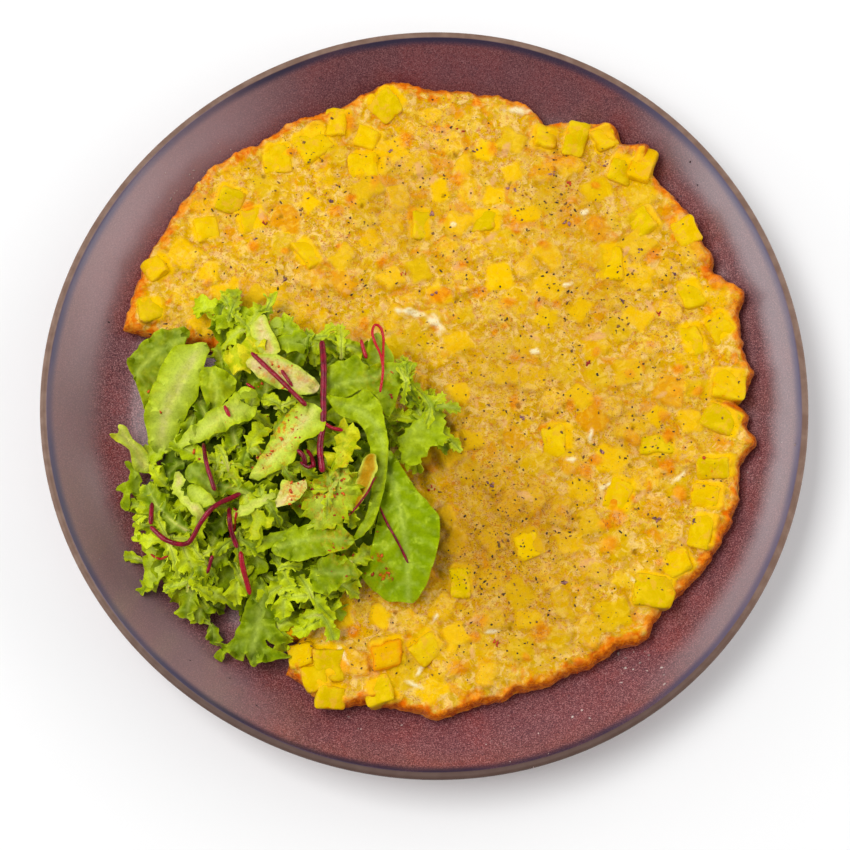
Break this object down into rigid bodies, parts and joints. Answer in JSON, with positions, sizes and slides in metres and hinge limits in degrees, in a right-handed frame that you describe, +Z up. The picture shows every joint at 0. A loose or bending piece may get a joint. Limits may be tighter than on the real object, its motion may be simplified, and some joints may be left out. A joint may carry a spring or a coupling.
{
  "type": "spanish omelette with salad on a plate",
  "caption": "Round potato and egg omelette with one slice taken out, a heap of mixed salad leaves in its place, on a glazed coupe plate.",
  "frame": {"origin": "centre of the plate's foot ring, on the plane it stands on", "axes": "+Z up through the plate's middle, -Y towards the viewer, the open slice with the salad at -X -Y"},
  "size_m": [0.28, 0.28, 0.0471],
  "materials": {
    "plate": "glossy purple-brown reactive glaze with a dark blue line and a brown lip",
    "omelette": "moist cooked egg with browned spots and yellow potato dice",
    "salad": "fresh thin leaves, soft sheen"
  },
  "bodies": {
    "root": {"plate": "plate", "omelette": "omelette", "salad": "salad"}
  },
  "joints": []
}
